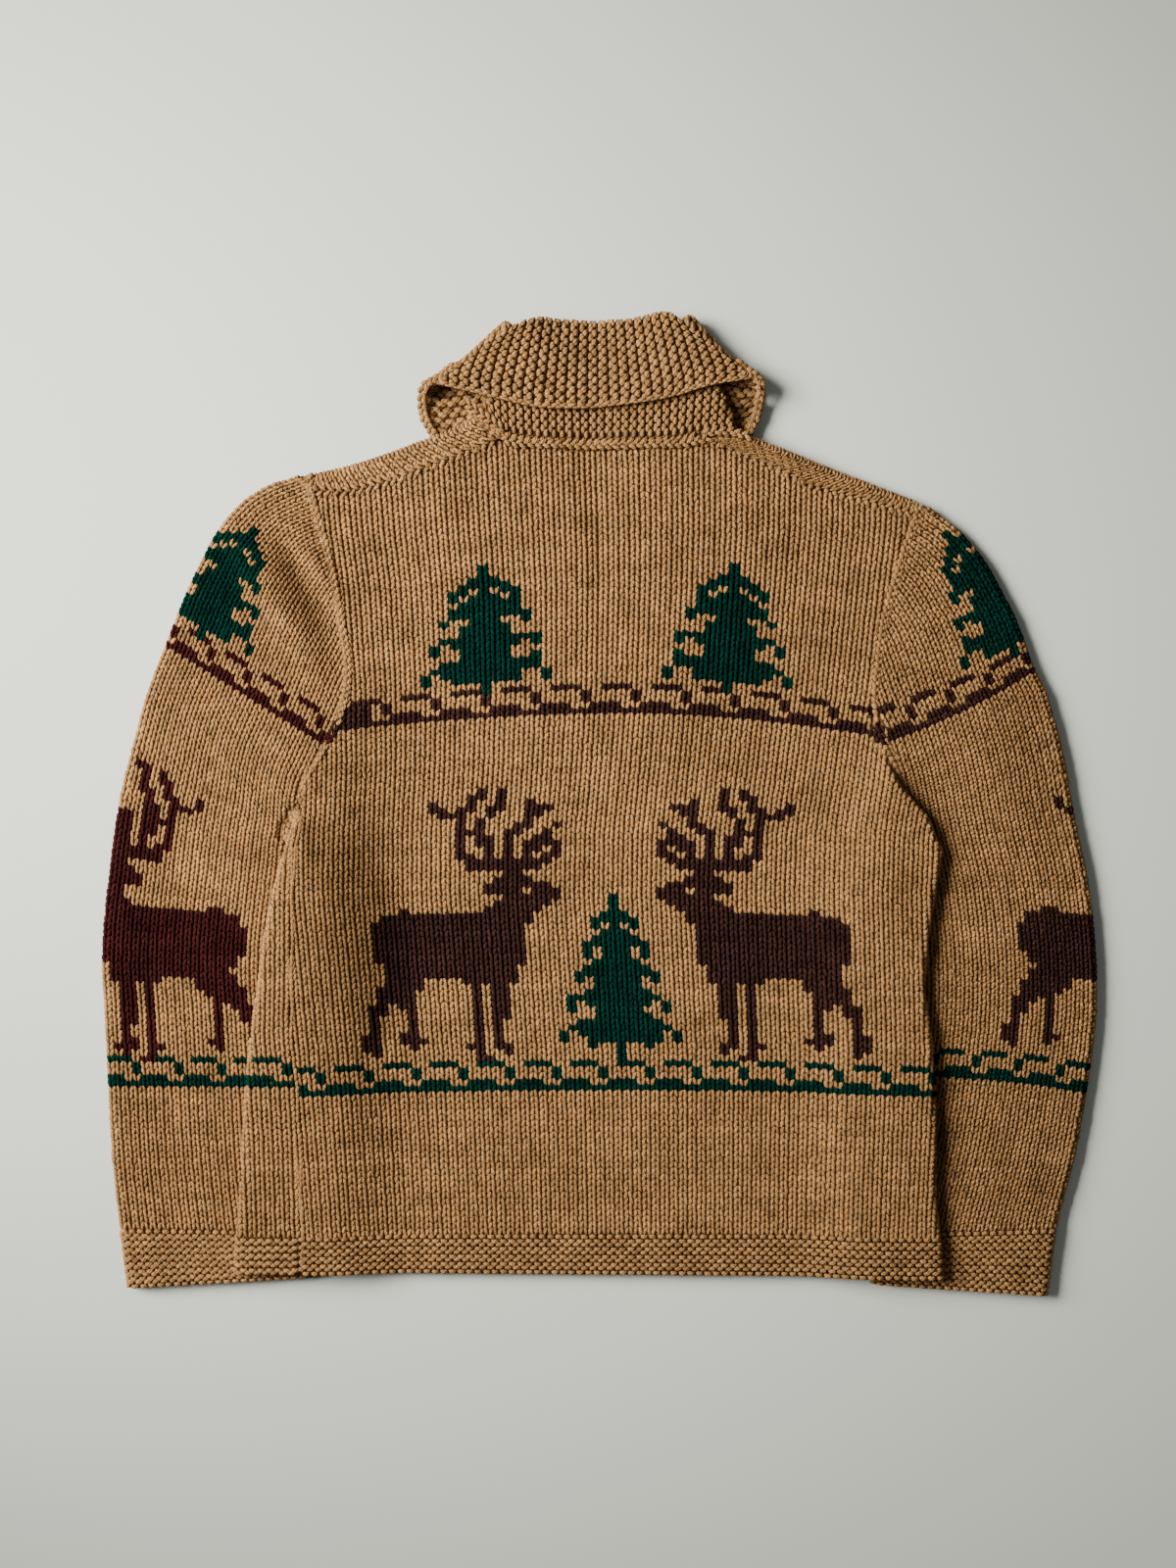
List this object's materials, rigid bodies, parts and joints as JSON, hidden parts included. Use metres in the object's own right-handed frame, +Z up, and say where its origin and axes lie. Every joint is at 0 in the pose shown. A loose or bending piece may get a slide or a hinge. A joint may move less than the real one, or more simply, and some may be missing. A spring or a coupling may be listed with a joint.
{
  "type": "cowichan sweater",
  "caption": "Thick hand-knitted cardigan with a shawl collar, long sleeves and garter-ridged hem, cuffs and collar, laid flat on its front.",
  "frame": {"origin": "on the surface that the garment lies on, under the middle of its outline", "axes": "+X runs across the back towards the wearer's right, +Y from the hem to the collar, +Z up from the surface, so that the back of the garment is on top"},
  "size_m": [0.772, 0.762, 0.0232],
  "materials": {
    "heather_tan_wool": "matte hand-knitted wool",
    "garter_tan_wool": "matte garter-stitch wool"
  },
  "bodies": {
    "root": {"back": "heather_tan_wool", "front_left": "heather_tan_wool", "front_right": "heather_tan_wool", "sleeve_left": "heather_tan_wool", "sleeve_right": "heather_tan_wool", "collar": "garter_tan_wool"}
  },
  "joints": []
}
